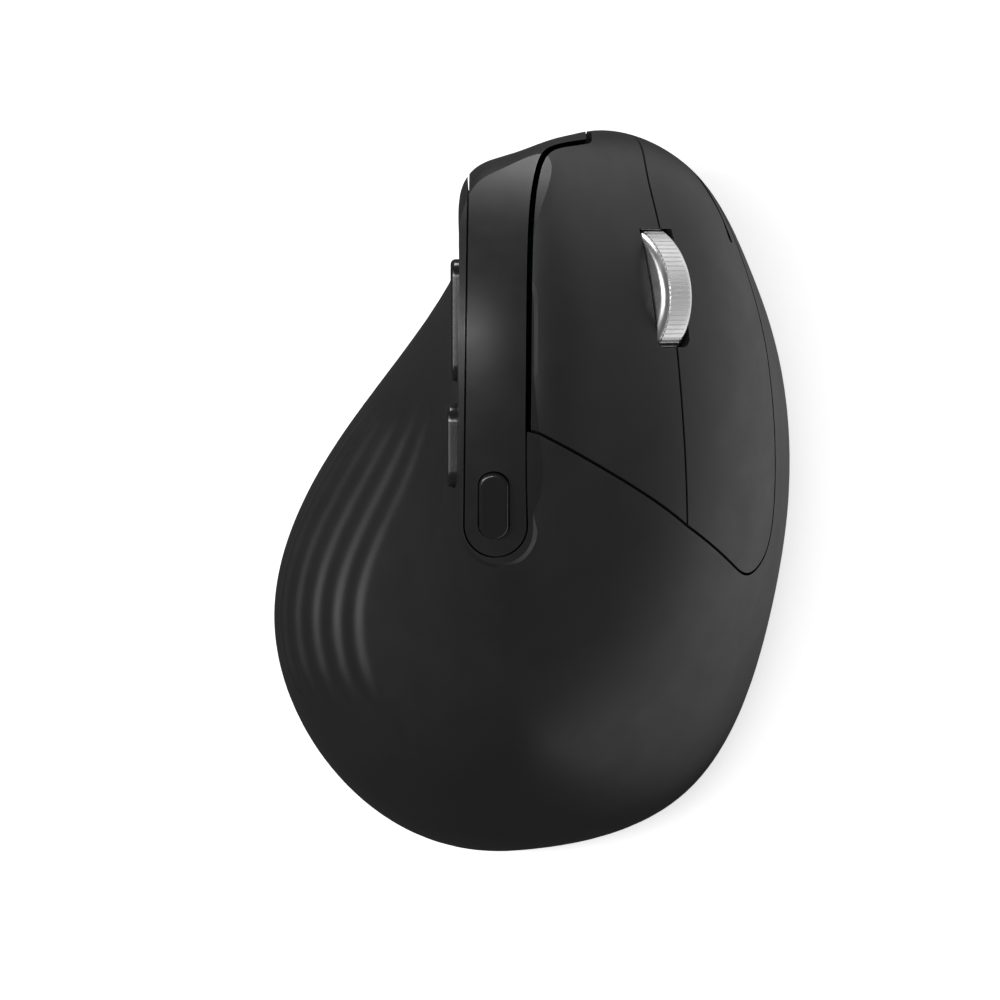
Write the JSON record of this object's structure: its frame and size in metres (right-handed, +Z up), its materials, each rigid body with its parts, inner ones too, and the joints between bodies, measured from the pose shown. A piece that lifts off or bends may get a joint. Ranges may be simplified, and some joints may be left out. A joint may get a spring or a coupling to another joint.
{
  "type": "vertical computer mouse",
  "caption": "Right-hand vertical cordless computer mouse with a flared thumb side, crowned top strip, two finger buttons, scroll wheel, thumb buttons and a battery base.",
  "frame": {"origin": "on the desk under the middle of the body; the glide feet rest on z = 0", "axes": "+Y forward, towards the fingertips; +X towards the finger side (the user's right); +Z up from the desk"},
  "size_m": [0.086, 0.1183, 0.0731],
  "materials": {
    "soft_black": "fine-textured soft-touch coat",
    "strip_black": "satin",
    "base_black": "fine spark texture",
    "gloss_black": "gloss",
    "wheel_silver": "machined, polished bevels",
    "hub_grey": "matt",
    "frame_black": "matt",
    "board_green": "solder mask",
    "switch_black": "matt",
    "plunger_white": "matt",
    "plunger_red": "matt",
    "sensor_black": "gloss",
    "lens_clear": "clear moulded acrylic",
    "steel": "plated",
    "cell_sleeve": "printed sleeve",
    "foot_grey": "low-friction sheet"
  },
  "bodies": {
    "housing": {"base_shell": "base_black", "main_shell": "soft_black", "top_strip": "strip_black", "key_frame": "frame_black", "key_board": "board_green", "main_board": "board_green", "side_board": "board_green", "dpi_board": "board_green", "left_switch": "switch_black", "right_switch": "switch_black", "wheel_switch": "switch_black", "side_switches": "switch_black", "dpi_switch": "switch_black", "scroll_emitter": "sensor_black", "scroll_detector": "sensor_black", "optical_sensor": "sensor_black", "sensor_lens": "lens_clear", "power_switch": "steel", "battery_cell": "cell_sleeve", "battery_spring": "steel", "battery_contact": "steel", "glide_feet": "foot_grey", "case_screws": "steel", "board_screws": "steel"},
    "left_key": {"left_button": "soft_black"},
    "right_key": {"right_button": "soft_black"},
    "left_key_plunger": {"left_plunger": "plunger_red"},
    "right_key_plunger": {"right_plunger": "plunger_red"},
    "cradle": {"wheel_cradle": "frame_black"},
    "wheel": {"wheel_tyre": "wheel_silver", "wheel_hub": "hub_grey"},
    "cradle_plunger": {"wheel_plunger": "plunger_white"},
    "dpi_key": {"dpi_button": "gloss_black"},
    "dpi_key_plunger": {"dpi_plunger": "plunger_white"},
    "forward_key": {"forward_button": "gloss_black"},
    "forward_key_plunger": {"forward_plunger": "plunger_white"},
    "back_key": {"back_button": "gloss_black"},
    "back_key_plunger": {"back_plunger": "plunger_white"},
    "power_knob": {"power_slider": "gloss_black"},
    "door": {"battery_door": "base_black"},
    "receiver": {"usb_receiver": "soft_black"}
  },
  "joints": [
    {"name": "left_press", "type": "hinge", "parent": "housing", "child": "left_key", "pos_m": [-0.00553, 0.01247, 0.06324], "axis": [-0.6665, 0.3863, 0.6376], "range_deg": [0, 0.8]},
    {"name": "right_press", "type": "hinge", "parent": "housing", "child": "right_key", "pos_m": [-0.00553, 0.01247, 0.06324], "axis": [-0.6665, 0.3863, 0.6376], "range_deg": [0, 0.8]},
    {"name": "left_plunger_slide", "type": "slide", "parent": "housing", "child": "left_key_plunger", "axis": [-0.7217, -0.1203, -0.6816], "range_m": [0, 0.00045]},
    {"name": "right_plunger_slide", "type": "slide", "parent": "housing", "child": "right_key_plunger", "axis": [-0.7217, -0.1203, -0.6816], "range_m": [0, 0.0005]},
    {"name": "middle_press", "type": "hinge", "parent": "housing", "child": "cradle", "pos_m": [0.01561, 0.01475, 0.04368], "axis": [-0.6827, -0.039, 0.7297], "range_deg": [0, 0.5]},
    {"name": "wheel_spin", "type": "hinge", "parent": "cradle", "child": "wheel", "pos_m": [0.01369, 0.03202, 0.04281], "axis": [0.6827, 0.039, -0.7297], "continuous": true},
    {"name": "middle_plunger_slide", "type": "slide", "parent": "housing", "child": "cradle_plunger", "axis": [-0.7217, -0.1203, -0.6816], "range_m": [0, 0.00035]},
    {"name": "dpi_press", "type": "slide", "parent": "housing", "child": "dpi_key", "axis": [0, 0.3649, -0.9311], "range_m": [0, 0.0003]},
    {"name": "dpi_plunger_slide", "type": "slide", "parent": "housing", "child": "dpi_key_plunger", "axis": [0, 0.3649, -0.9311], "range_m": [0, 0.0003]},
    {"name": "forward_press", "type": "slide", "parent": "housing", "child": "forward_key", "axis": [1, 0, 0], "range_m": [0, 0.0004]},
    {"name": "forward_plunger_slide", "type": "slide", "parent": "housing", "child": "forward_key_plunger", "axis": [1, 0, 0], "range_m": [0, 0.0004]},
    {"name": "back_press", "type": "slide", "parent": "housing", "child": "back_key", "axis": [1, 0, 0], "range_m": [0, 0.0004]},
    {"name": "back_plunger_slide", "type": "slide", "parent": "housing", "child": "back_key_plunger", "axis": [1, 0, 0], "range_m": [0, 0.0004]},
    {"name": "power_slide", "type": "slide", "parent": "housing", "child": "power_knob", "axis": [0, 1, 0], "range_m": [0, 0.0025]},
    {"name": "door_lift", "type": "slide", "parent": "housing", "child": "door", "axis": [0, 0, -1], "range_m": [0, 0.012]},
    {"name": "receiver_slide", "type": "slide", "parent": "housing", "child": "receiver", "axis": [0, 0, -1], "range_m": [0, 0.014]}
  ],
  "couplings": [
    {"joint": "left_plunger_slide", "follows": "left_press", "m_per_rad": 0.025639},
    {"joint": "right_plunger_slide", "follows": "right_press", "m_per_rad": 0.032644},
    {"joint": "middle_plunger_slide", "follows": "middle_press", "m_per_rad": 0.034},
    {"joint": "dpi_plunger_slide", "follows": "dpi_press", "ratio": 1},
    {"joint": "forward_plunger_slide", "follows": "forward_press", "ratio": 1},
    {"joint": "back_plunger_slide", "follows": "back_press", "ratio": 1}
  ]
}
